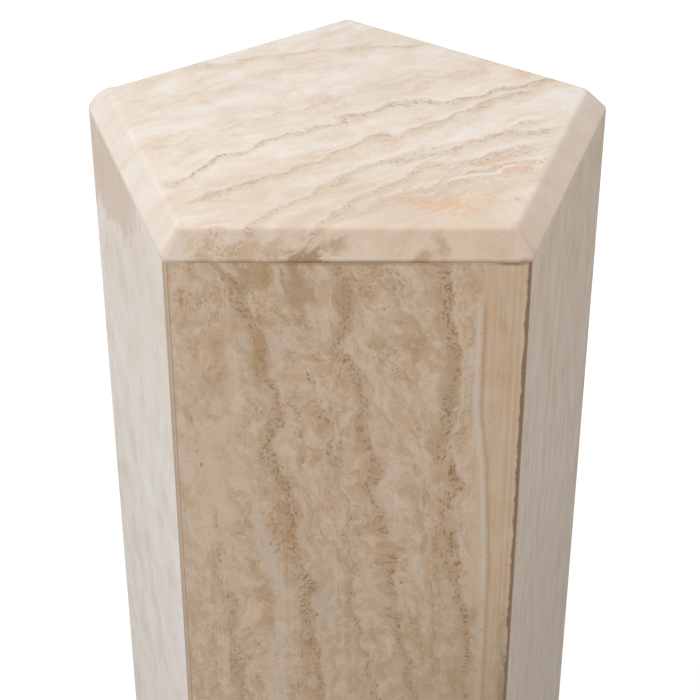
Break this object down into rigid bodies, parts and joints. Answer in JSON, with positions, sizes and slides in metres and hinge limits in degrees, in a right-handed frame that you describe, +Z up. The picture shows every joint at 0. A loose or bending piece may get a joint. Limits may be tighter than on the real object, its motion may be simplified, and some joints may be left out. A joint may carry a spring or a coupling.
{
  "type": "pentagonal stone pedestal column",
  "caption": "Free-standing pedestal column of honed travertine, pentagonal in plan, with a bevelled cap slab that carries a vase, bust or lamp; hollow inside and open below.",
  "frame": {"origin": "on the column's upright axis at floor level, in the middle of its open underside", "axes": "+Z up along the column's axis; -Y is the way the front panel faces; +X is to the right of someone facing the front panel; a corner points to +Y"},
  "size_m": [0.403, 0.3833, 1],
  "materials": {
    "cap_travertine": "honed cream travertine, cut across its bedding, with thin brown veins and small filled pores",
    "front_travertine": "honed walnut-beige travertine with upright wavy bands, spongy brown veins and filled pores",
    "side_travertine": "honed pale beige travertine with fine upright bands and filled pores"
  },
  "bodies": {
    "root": {"cap_slab": "cap_travertine", "front_panel": "front_travertine", "right_panel": "side_travertine", "back_right_panel": "side_travertine", "back_left_panel": "side_travertine", "left_panel": "side_travertine"}
  },
  "joints": []
}
